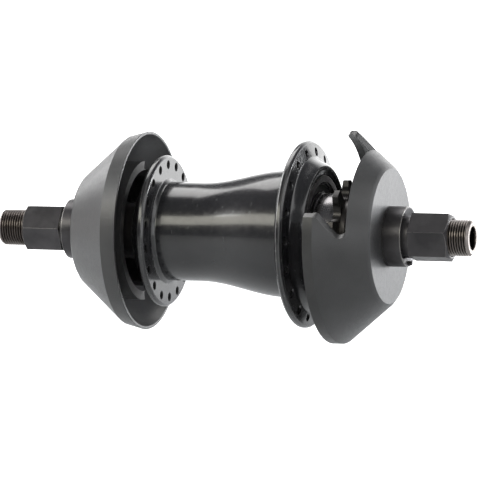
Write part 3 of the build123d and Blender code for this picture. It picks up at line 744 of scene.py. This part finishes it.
# %% Non-drive guard
side_low, side_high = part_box("non_drive_guard")
guard_face = side_low.x / mm
guard_rim = side_high.x / mm
guard_rim_r = side_high.y / mm
side_band = 6.4
crease = guard_rim - side_band
crease_r = 37.0
guard_face_r = 21.0
guard_bore_r = 7.15
corner_long = 1.2
corner_drop = 0.6
side_rim_thick = 1.2
side_floor = 2.0
inner_crease_shift = 1.0
inner_crease_drop = 1.75
inner_face_drop = 0.9
cone_slope = (crease_r - guard_face_r) / (crease - guard_face)
side_guard_outline = [
    (guard_face, guard_bore_r),
    (guard_face, guard_face_r - corner_drop),
    (guard_face + corner_long, guard_face_r + corner_long * cone_slope),
    (crease, crease_r),
    (guard_rim, guard_rim_r),
    (guard_rim, guard_rim_r - side_rim_thick),
    (crease + inner_crease_shift, crease_r - inner_crease_drop),
    (guard_face + side_floor, guard_face_r - inner_face_drop),
    (guard_face + side_floor, guard_bore_r),
]
side_guard = turned("non_drive_guard_moulded", side_guard_outline)
side_guard.data.materials.append(guard_nylon)
rounded(side_guard, width=0.3, sharp=35, parts=3)
smooth(side_guard, sharp=20)

# %% Ring inside the non-drive guard
clip_outer_r = 27.0
clip_inner_r = 23.6
clip_end = -37.2
clip_start = -51.3
clip_ring = turned("clip_ring", [
    (clip_end, clip_inner_r),
    (clip_end, clip_outer_r),
    (clip_start, clip_outer_r),
    (clip_start, clip_inner_r),
])
gap_half_angle = 16
gap_tool_long = 40
gap_tool_high = 8
gap_width = 2 * clip_outer_r * math.sin(math.radians(gap_half_angle))
for gap_middle in (180 + gap_half_angle, 360 - gap_half_angle):
    let_go()
    bpy.ops.mesh.primitive_cube_add(size=mm)
    gap_tool = bpy.context.object
    gap_tool.data.transform(Matrix.Diagonal((gap_tool_long, gap_width, gap_tool_high, 1)))
    gap_tool.data.transform(Matrix.Translation((clip_end * mm, 0, clip_outer_r * mm)))
    gap_tool.data.transform(Matrix.Rotation(math.radians(gap_middle), 4, "X"))
    carve(clip_ring, gap_tool)
clip_ring.data.materials.append(guard_nylon)
rounded(clip_ring, width=0.25)
smooth(clip_ring)
take(clip_ring)
side_guard.select_set(True)
bpy.context.view_layer.objects.active = side_guard
bpy.ops.object.join()
fit(side_guard, "axle_group", "guard_nylon", "non_drive_guard")

# %% [markdown]
# ## Drive guard
#
# The drive guard is a bell over the sprocket. The chain needs a way in, so one side is cut
# away straight across, with a deeper notch in the middle. The cut is made with a single
# drawn tool, pushed through the bell, and its edges are then rounded as the mould leaves them.

# %% Drive guard
drive_low, drive_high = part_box("drive_guard")
bell_rim = drive_low.x / mm
bell_face = drive_high.x / mm
bell_r = drive_high.y / mm
bell_band = 3.8
bell_face_r = 26.6
bell_wall = 2.0
bell_slope = (bell_r - bell_face_r) / (bell_face - bell_rim - bell_band)
wall_across = bell_wall * math.hypot(1, bell_slope)
band_end = bell_rim + bell_band
inner_band_end = band_end + (bell_wall - wall_across) / bell_slope
inner_face_r = bell_r - wall_across - bell_slope * (bell_face - bell_wall - band_end)
drive_guard = turned("drive_guard_moulded", [
    (bell_rim, bell_r - bell_wall),
    (bell_rim, bell_r),
    (band_end, bell_r),
    (bell_face - corner_long, bell_face_r + corner_long * bell_slope),
    (bell_face, bell_face_r - corner_drop),
    (bell_face, guard_bore_r),
    (bell_face - bell_wall, guard_bore_r),
    (bell_face - bell_wall, inner_face_r),
    (inner_band_end, bell_r - bell_wall),
])

# %% Chain window
window_direction = 60.6
window_chord = 28.2
notch_chord = 17.8
notch_width = 14.3
window_flat = 4.4
notch_land = 2.6
window_corner = 1.2
past_rim = 4.0
reach = 90.0
window_corners = [
    (bell_rim - past_rim, window_chord),
    (bell_rim + window_flat, window_chord),
    (bell_rim + notch_width - notch_land, notch_chord),
    (bell_rim + notch_width, notch_chord),
    (bell_rim + notch_width, reach),
    (bell_rim - past_rim, reach),
]
window_points = [Vector((along, 0, away)) * mm for along, away in window_corners]
window_tool = drawn("window_tool", window_points + window_points[:1])
take(window_tool)
bpy.ops.object.mode_set(mode="EDIT")
bpy.ops.mesh.select_all(action="SELECT")
bpy.ops.transform.translate(value=(0, -reach * mm, 0))
bpy.ops.mesh.bevel(affect="VERTICES", offset=window_corner * mm, segments=5)
bpy.ops.object.mode_set(mode="OBJECT")
pushed(window_tool, (0, 2 * reach * mm, 0))
window_lean = Matrix.Rotation(math.radians(90 - window_direction), 4, "X")
window_tool.data.transform(window_lean)
carve(drive_guard, window_tool)

# %% [markdown]
# The photograph shows a round tip on the far arm of the window. A wider bevel would round its
# neighbours too, so a tool with a quarter circle in it takes off only the corner.

# %% Round tip of the far arm
tip_r = 3.2
tip_over = 1
tip_steps = 8
tip_outline = [
    (bell_rim - tip_over, window_chord + tip_over),
    (bell_rim - tip_over, window_chord - tip_r),
]
for step in range(tip_steps + 1):
    around = math.radians(90 * step / tip_steps)
    tip_outline.append((
        bell_rim + tip_r - tip_r * math.cos(around),
        window_chord - tip_r + tip_r * math.sin(around),
    ))
tip_outline.append((bell_rim + tip_r, window_chord + tip_over))
tip_points = [Vector((along, 0, away)) * mm for along, away in tip_outline]
tip_tool = drawn("tip_tool", tip_points + tip_points[:1])
pushed(tip_tool, (0, reach * mm, 0))
tip_tool.data.transform(window_lean)
carve(drive_guard, tip_tool)
drive_guard.data.materials.append(guard_nylon)
drive_guard.data.materials.append(nylon_edge_wear_and_highlight)
rounded(drive_guard, width=0.4, sharp=35, parts=2, wear_and_highlight_slot=1)
smooth(drive_guard, sharp=40)
fit(drive_guard, "axle_group", "guard_nylon", "drive_guard")

# %% [markdown]
# ## Collars and nuts
#
# A round dished collar sits on each guard and a 17 mm nut presses it down. On a nut the outer
# corners are turned down to a cone, which gives the curved line that every hexagon nut has.
# That is done here as on the lathe: a barrel-shaped tool trims a six-sided bar.

# %% Collars
collar_r = 11.6
collar_long = 7.3
dish_r = 10.7
dish_deep = 1.2
boss_r = 8.2
pip_r = 0.9
pip_high = 1.5
pip_sunk = 0.5
pip_inset = 0.5
pip_chamfer = 0.3
for name, face, side in (("drive_collar", bell_face, 1), ("non_drive_collar", guard_face, -1)):
    outer = face + side * collar_long
    collar = turned(name + "_turned", [
        (face, guard_bore_r),
        (face, collar_r),
        (outer, collar_r),
        (outer, dish_r),
        (outer - side * dish_deep, boss_r),
        (outer - side * dish_deep, guard_bore_r),
    ])
    collar.data.materials.append(black_oxide)
    collar.data.materials.append(oxide_edge_wear_and_highlight)
    rounded(collar, width=0.25, parts=3, wear_and_highlight_slot=1)
    if side == 1:
        pip_low = outer - dish_deep
        pip_top = pip_low + dish_deep + pip_high
        pip = turned("pip", [
            (pip_low - pip_sunk, 0),
            (pip_low - pip_sunk, pip_r),
            (pip_top - pip_chamfer, pip_r),
            (pip_top, pip_r - pip_chamfer),
            (pip_top, 0),
        ], steps=32, centre=(0, pip_inset + pip_r - collar_r))
        carve(collar, pip, "UNION")
    smooth(collar)
    fit(collar, "axle_group", "black_oxide", name)

# %% Nuts
nut_flats = 17.0
nut_corner_r = nut_flats / 2 / math.cos(math.radians(30))
nut_long = 15.6
nut_boss_long = 3.2
nut_chamfer = 1.1
thread_r = 7.0
nut_gap = 0.05
barrel_over = 1.0
barrel_room = 1
corner_clear = 0.02
boss_sunk = 0.5
bore_over = 8
bore_mouth = 0.6
bore_flare = 1.0
collar_outer = {1: bell_face + collar_long, -1: guard_face - collar_long}
nut_lift = {1: 14, -1: 3}
for name, side in (("drive_axle_nut", 1), ("non_drive_axle_nut", -1)):
    hex_start = collar_outer[side] + side * (nut_boss_long - dish_deep)
    hex_end = hex_start + side * nut_long
    let_go()
    bpy.ops.mesh.primitive_cylinder_add(
        vertices=6, radius=nut_corner_r * mm, depth=nut_long * mm,
        location=((hex_start + hex_end) / 2 * mm, 0, 0), rotation=(0, math.radians(90), 0),
    )
    nut = bpy.context.object
    nut.name = name + "_milled"
    nut.data.name = nut.name
    bpy.ops.object.transform_apply(location=True, rotation=True, scale=True)
    nut.data.transform(Matrix.Rotation(math.radians(-nut_lift[side]), 4, "X"))
    barrel = turned("barrel", [
        (hex_start - side * barrel_over, 0),
        (hex_start - side * barrel_over, nut_corner_r + barrel_room),
        (hex_end - side * nut_chamfer, nut_corner_r + corner_clear),
        (hex_end, nut_flats / 2 - nut_chamfer / 2),
        (hex_end, 0),
    ])
    carve(nut, barrel, "INTERSECT")
    boss = turned("boss", [
        (hex_start - side * nut_boss_long, 0),
        (hex_start - side * nut_boss_long, boss_r),
        (hex_start + side * boss_sunk, boss_r),
        (hex_start + side * boss_sunk, 0),
    ])
    carve(nut, boss, "UNION")
    bore = turned("bore", [
        (hex_start - side * bore_over, 0),
        (hex_start - side * bore_over, thread_r + nut_gap),
        (hex_end - side * bore_mouth, thread_r + nut_gap),
        (hex_end + side * bore_flare, thread_r + nut_gap + bore_flare),
        (hex_end + side * bore_flare, 0),
    ])
    carve(nut, bore)
    nut.data.materials.append(black_oxide)
    nut.data.materials.append(oxide_edge_wear_and_highlight)
    rounded(nut, width=0.18, sharp=20, parts=2, wear_and_highlight_slot=1)
    smooth(nut, sharp=25)
    fit(nut, "axle_group", "black_oxide", name)

# %% [markdown]
# ## Axle with its threads
#
# The axle is hollow, with a fine M14 thread of 1 mm pitch at each end, as the ridges in the
# photograph show when they are counted. A thread is one ridge wound on a helix: one tooth of
# the outline is drawn, the Screw modifier winds it forward by one pitch a turn, and a flat cut
# with a cap closes each end. A bump texture could draw the ridges, but not their outline. A
# plain ring with a chamfer, as turned before the thread is rolled, ends each rod. The smooth
# body is joined to the rods.

# %% Threaded rods
pitch = 1.0
root_r = 6.42
axle_low, axle_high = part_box("axle")
axle_end = {1: axle_high.x / mm, -1: axle_low.x / mm}
end_chamfer = 0.8
end_chamfer_long = 1.0
rod_long = 38.3
lead_in = 2.69
thread_steps = 60
thread_weld = weld / 20
spare_turns = 5
axle_steps = 96


def threaded_rod(name, low):
    """A rod with a wound thread, cut between its points and capped at both ends."""
    tooth = [
        (0, root_r),
        (0.08, root_r),
        (0.45, thread_r),
        (0.58, thread_r),
        (0.95, root_r),
        (1, root_r),
    ]
    start_x = low - lead_in * pitch
    points = [Vector((start_x + share * pitch, 0, radius)) * mm for share, radius in tooth]
    rod = drawn(name, points)
    turns = math.ceil(rod_long / pitch) + spare_turns
    apply_modifier(
        rod, "SCREW", axis="X", angle=math.tau, screw_offset=pitch * mm, iterations=turns,
        steps=thread_steps, render_steps=thread_steps,
    )
    close_up(rod)
    bpy.ops.object.mode_set(mode="EDIT")
    for end_x, clears_outer in ((low, False), (low + rod_long, True)):
        bpy.ops.mesh.select_all(action="SELECT")
        bpy.ops.mesh.bisect(
            plane_co=(end_x * mm, 0, 0), plane_no=(1, 0, 0), use_fill=True,
            clear_outer=clears_outer, clear_inner=not clears_outer, threshold=thread_weld,
        )
    bpy.ops.object.mode_set(mode="OBJECT")
    return close_up(rod, thread_weld)


# %% Axle
body_r = 7.5
shoulder_outer_r = 9.5
shoulder_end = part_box("drag_sleeve")[0].x / mm
shoulder_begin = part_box("non_drive_bearing_inner_race")[1].x / mm
body_inset = 3.2
body_low = guard_face + body_inset
body_high = bell_face - body_inset
ring_sunk = 0.4
ring_step = 0.05
root_cover = 0.03
crest_drop = 0.12
hollow_r = 4.5
hollow_mouth_r = 5.2
hollow_mouth = 0.4
hollow_over = 1
axle = turned("axle_turned", [
    (body_low, 0),
    (body_low, body_r),
    (shoulder_begin, body_r),
    (shoulder_begin, shoulder_outer_r),
    (shoulder_end, shoulder_outer_r),
    (shoulder_end, body_r),
    (body_high, body_r),
    (body_high, 0),
], steps=axle_steps)
for side in (-1, 1):
    thread_end = axle_end[side] - side * end_chamfer_long
    rod_low = thread_end if side == -1 else thread_end - rod_long
    carve(axle, threaded_rod("rod", rod_low), "UNION")
    end_ring = turned("end_ring", [
        (thread_end - side * ring_sunk, 0),
        (thread_end - side * ring_sunk, root_r + root_cover),
        (thread_end + side * ring_step, thread_r - crest_drop),
        (axle_end[side], thread_r - end_chamfer),
        (axle_end[side], 0),
    ], steps=axle_steps)
    carve(axle, end_ring, "UNION")
hollow = turned("hollow", [
    (axle_end[-1] - hollow_over, 0),
    (axle_end[-1] - hollow_over, hollow_mouth_r),
    (axle_end[-1] + hollow_mouth, hollow_r),
    (axle_end[1] - hollow_mouth, hollow_r),
    (axle_end[1] + hollow_over, hollow_mouth_r),
    (axle_end[1] + hollow_over, 0),
], steps=axle_steps)
carve(axle, hollow)
axle.data.materials.append(axle_steel)
smooth(axle, sharp=35)
fit(axle, "axle_group", "axle_steel", "axle")

# %% [markdown]
# ## Driver
#
# The driver carries the sprocket outside and the worm inside. The worm of the engineering
# model is already wound, so the inner half is a trimmed copy of it. The outer half is turned
# again with a bowed dome, because a dome of flat facets shows at once in bright metal. Nine
# gaps are then cut into its disc: one cutter with a round root, repeated round the axle. The
# dome is polished, while the disc takes a near black finish of its own: painted shade for the
# shade and the dark reflections that the guard gives the teeth.

# %% Outer half of the driver
driver_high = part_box("driver")[1]
driver_out = driver_high.x / mm
join_x = 34.0
neck_r = 15.0
dome_r = 16.0
dome_end_r = 14.8
dome_start = 35.65
dome_bow_start = 38.2
dome_foot = 0.35
groove_start = 0.7
groove_middle = 0.9
groove_end = 1.1
groove_deep = 0.25
sprocket_back = 4.9
sprocket_front = 1.9
sprocket_start = driver_out - sprocket_back
sprocket_end = driver_out - sprocket_front
sprocket_tip_r = driver_high.z / mm
tooth_bevel = 0.45
tooth_bevel_deep = 4.6
tooth_foot_r = sprocket_tip_r - tooth_bevel_deep
end_step = 0.4
end_boss_r = dome_end_r - end_step
dome_steps = 8
driver_bore_r = 12.0
bow_long = sprocket_start - dome_bow_start
bow_r = (bow_long ** 2 + (dome_r - dome_end_r) ** 2) / (2 * (dome_r - dome_end_r))
dome_curve = []
for step in range(dome_steps + 1):
    along = bow_long * step / dome_steps
    height = math.sqrt(bow_r ** 2 - along ** 2)
    dome_curve.append((dome_bow_start + along, dome_r - bow_r + height))
driver = turned("driver_turned", [
    (join_x, driver_bore_r),
    (join_x, neck_r),
    (dome_start - dome_foot, neck_r),
    (dome_start, dome_r),
    (dome_start + groove_start, dome_r),
    (dome_start + groove_middle, dome_r - groove_deep),
    (dome_start + groove_end, dome_r),
    *dome_curve,
    (sprocket_start, tooth_foot_r),
    (sprocket_start + tooth_bevel, sprocket_tip_r),
    (sprocket_end - tooth_bevel, sprocket_tip_r),
    (sprocket_end, tooth_foot_r),
    (sprocket_end, end_boss_r),
    (driver_out, end_boss_r),
    (driver_out, driver_bore_r),
])

# %% Gaps between the sprocket teeth
chain_pitch = 12.7
roller_r = 3.9
teeth = 9
first_gap = 108.0
tooth_tip_half = 1.5
gap_over = 0.02
root_steps = 16
pitch_circle_r = chain_pitch / 2 / math.sin(math.pi / teeth)
gap_open_half = sprocket_tip_r * math.sin(math.pi / teeth) - tooth_tip_half
gap_rise = sprocket_tip_r - pitch_circle_r
gap_flare = (gap_open_half - roller_r) / gap_rise
gap_outline = [(2 * gap_rise, roller_r + 2 * gap_rise * gap_flare)]
for step in range(root_steps + 1):
    around = math.radians(90 + 180 * step / root_steps)
    gap_outline.append((roller_r * math.cos(around), roller_r * math.sin(around)))
gap_outline.append((2 * gap_rise, -roller_r - 2 * gap_rise * gap_flare))
gap_points = []
for out, across in gap_outline:
    gap_points.append(Vector((sprocket_start - gap_over, -across, pitch_circle_r + out)) * mm)
gap_cutter = drawn("gap_cutter", gap_points + gap_points[:1])
gap_depth = (sprocket_end - sprocket_start + 2 * gap_over) * mm
pushed(gap_cutter, (gap_depth, 0, 0))
gap_cutter.data.transform(Matrix.Rotation(math.radians(first_gap - 90), 4, "X"))
carve(driver, all_round(gap_cutter, teeth))
driver.data.materials.append(dark_chrome)
driver.data.materials.append(sprocket_painted_shade)
# Faces of the sprocket disc take the painted shade finish.
disc_start = sprocket_start - 0.1
for face in driver.data.polygons:
    if face.center.x / mm > disc_start:
        face.material_index = 1
rounded(driver, width=0.15, sharp=32, parts=2)

# %% Inner half of the driver
inner_half = bpy.data.objects.new("driver_inner", frame["nodes"]["driver"].data.copy())
bpy.context.scene.collection.objects.link(inner_half)
close_up(inner_half)
bpy.ops.mesh.customdata_custom_splitnormals_clear()
cut_r = 30
cut_over = 5
outer_cut = turned("outer_cut", [
    (join_x, 0),
    (join_x, cut_r),
    (driver_out + cut_over, cut_r),
    (driver_out + cut_over, 0),
])
carve(inner_half, outer_cut)
smooth(driver, sharp=30)
smooth(inner_half, sharp=30)
take(inner_half)
driver.select_set(True)
bpy.context.view_layer.objects.active = driver
bpy.ops.object.join()
fit(driver, "driver_group", "dark_chrome", "driver")

# %% [markdown]
# ## Floor and light
#
# The hub lies over a pale floor in plain studio light. A glossy black turning is seen almost
# only through what it mirrors, so the soft boxes matter more than its colour: one in front
# and above makes the long warm band on the tube, one behind and above the grey top edge, and
# one on each side the pale faces that look along the axle. A weak one in front on the right
# keeps the drive guard from going black. Two more point down at the table beside the hub, so
# that the pale table lights it from below, as it would in a light tent. The world is white to
# the camera and to mirrors that look past the hub, and dark to the rest.

# %% Floor
let_go()
floor_size = 2.0
floor_drop = 0.06
floor_tone = (0.42, 0.43, 0.44, 1)
floor_light = 0.93
bpy.ops.mesh.primitive_plane_add(size=floor_size, location=(0, 0, cad_low.z - floor_drop))
floor = bpy.context.object
floor.name = "floor"
floor_paint = bpy.data.materials.new("pale_floor")
floor_paint.use_nodes = True
floor_tree = floor_paint.node_tree
floor_shader = floor_tree.nodes["Principled BSDF"]
floor_shader.inputs["Base Color"].default_value = floor_tone
floor_shader.inputs["Roughness"].default_value = 0.9
floor_glow = floor_tree.nodes.new("ShaderNodeEmission")
floor_glow.inputs["Strength"].default_value = floor_light
floor_path = floor_tree.nodes.new("ShaderNodeLightPath")
floor_sum = floor_tree.nodes.new("ShaderNodeAddShader")
floor_mix = floor_tree.nodes.new("ShaderNodeMixShader")
floor_tree.links.new(floor_shader.outputs[0], floor_sum.inputs[0])
floor_tree.links.new(floor_glow.outputs[0], floor_sum.inputs[1])
floor_tree.links.new(floor_path.outputs["Is Camera Ray"], floor_mix.inputs[0])
floor_tree.links.new(floor_shader.outputs[0], floor_mix.inputs[1])
floor_tree.links.new(floor_sum.outputs[0], floor_mix.inputs[2])
floor_tree.links.new(floor_mix.outputs[0], floor_tree.nodes["Material Output"].inputs[0])
floor.data.materials.append(floor_paint)

# %% World
room_light = 0.16
backdrop_light = 2.3
backdrop_edge = (0.76, 0.92)
world = bpy.data.worlds.new("studio")
bpy.context.scene.world = world
world.use_nodes = True
world_tree = world.node_tree
room = world_tree.nodes["Background"]
room.inputs["Color"].default_value = (0.92, 0.95, 1.0, 1)
room.inputs["Strength"].default_value = room_light
backdrop = world_tree.nodes.new("ShaderNodeBackground")
backdrop.inputs["Color"].default_value = (1, 1, 1, 1)
backdrop.inputs["Strength"].default_value = backdrop_light
world_path = world_tree.nodes.new("ShaderNodeLightPath")
direction = world_tree.nodes.new("ShaderNodeTexCoord").outputs["Generated"]
direction_parts = world_tree.nodes.new("ShaderNodeSeparateXYZ")
world_tree.links.new(direction, direction_parts.inputs[0])
behind = range_node(world_tree, direction_parts.outputs["Y"], *backdrop_edge)
mirrored = math_node(world_tree, "MULTIPLY", world_path.outputs["Is Glossy Ray"], behind)
seen = math_node(world_tree, "MAXIMUM", world_path.outputs["Is Camera Ray"], mirrored)
seen = math_node(world_tree, "MAXIMUM", seen, world_path.outputs["Is Transmission Ray"])
world_mix = world_tree.nodes.new("ShaderNodeMixShader")
world_tree.links.new(seen, world_mix.inputs[0])
world_tree.links.new(room.outputs[0], world_mix.inputs[1])
world_tree.links.new(backdrop.outputs[0], world_mix.inputs[2])
world_tree.links.new(world_mix.outputs[0], world_tree.nodes["World Output"].inputs[0])


# %% Soft boxes
def soft_box(name, elevation, azimuth, away, wide, high, power, colour, down=False):
    """A soft box at a height and a side, in degrees, that faces the hub or the floor."""
    data = bpy.data.lights.new(name, "AREA")
    data.shape = "RECTANGLE"
    data.size = wide
    data.size_y = high
    data.energy = power
    data.color = colour
    box = bpy.data.objects.new(name, data)
    bpy.context.scene.collection.objects.link(box)
    rise = math.radians(elevation)
    turn = math.radians(azimuth)
    out = Vector((
        math.sin(turn) * math.cos(rise),
        -math.cos(turn) * math.cos(rise),
        math.sin(rise),
    ))
    box.location = out * away
    box.rotation_mode = "QUATERNION"
    facing = Vector((0, 0, -1)) if down else -out
    box.rotation_quaternion = facing.to_track_quat("-Z", "Y")
    return box


soft_box(
    "front_box", elevation=27, azimuth=-20, away=1.3, wide=2.6, high=0.42,
    power=13, colour=(1.0, 0.98, 0.87),
)
soft_box(
    "top_box", elevation=116, azimuth=25, away=1.3, wide=1.1, high=0.70,
    power=9.5, colour=(1.0, 0.99, 0.98),
)
soft_box(
    "left_box", elevation=-2, azimuth=-78, away=1.5, wide=1.4, high=1.4,
    power=13, colour=(1.0, 0.98, 0.98),
)
soft_box(
    "right_box", elevation=0, azimuth=126, away=1.5, wide=0.8, high=0.6,
    power=55, colour=(0.96, 0.98, 1.0),
)
soft_box(
    "front_right_box", elevation=0, azimuth=60, away=1.5, wide=1.0, high=0.8,
    power=4.4, colour=(0.97, 0.98, 1.0),
)
soft_box(
    "left_table_box", elevation=24, azimuth=-105, away=0.65, wide=0.5, high=0.9,
    power=7, colour=(1.0, 1.0, 1.0), down=True,
)
soft_box(
    "right_table_box", elevation=24, azimuth=110, away=0.65, wide=0.5, high=0.9,
    power=2.2, colour=(1.0, 1.0, 1.0), down=True,
)
